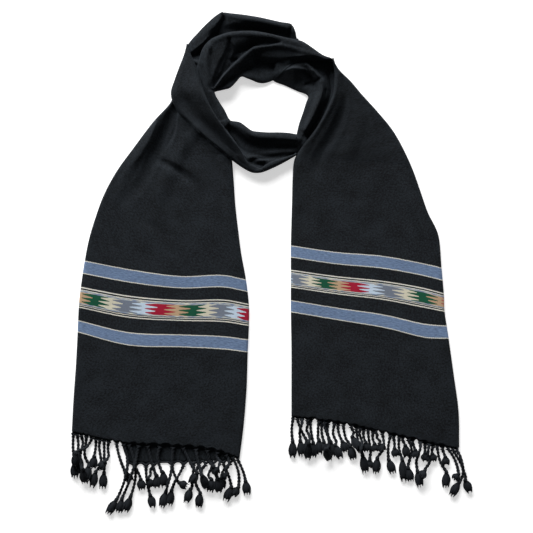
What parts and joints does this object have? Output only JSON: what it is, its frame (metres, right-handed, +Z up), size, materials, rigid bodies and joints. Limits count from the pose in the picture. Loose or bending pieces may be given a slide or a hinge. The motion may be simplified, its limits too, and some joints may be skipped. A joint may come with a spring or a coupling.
{
  "type": "scarf",
  "caption": "A black wool stole folded lengthwise and laid out in a neck ring with two hanging ends, with woven stripe borders and knotted fringe",
  "frame": {"origin": "middle of the laid-out scarf's box, on the surface that it lies on", "axes": "+X to the right as it is looked down on, +Y towards the back of the neck ring, +Z up from the surface"},
  "size_m": [0.6795, 0.8526, 0.0299],
  "materials": {
    "wool": "fine black twill wool with a soft nap, and a woven border of two blue stripes round a band of small stepped lozenges",
    "fringe": "black wool yarn twisted into cords, knotted, with cut tufts below the knots"
  },
  "bodies": {
    "root": {"tail_left": "wool", "collar_back_outer": "wool", "collar_right": "wool", "collar_front": "wool", "collar_back_inner": "wool", "collar_left_outer": "wool", "tail_right": "wool", "fringe_left_lower": "fringe", "fringe_left_upper": "fringe", "fringe_right_lower": "fringe", "fringe_right_upper": "fringe"}
  },
  "joints": []
}
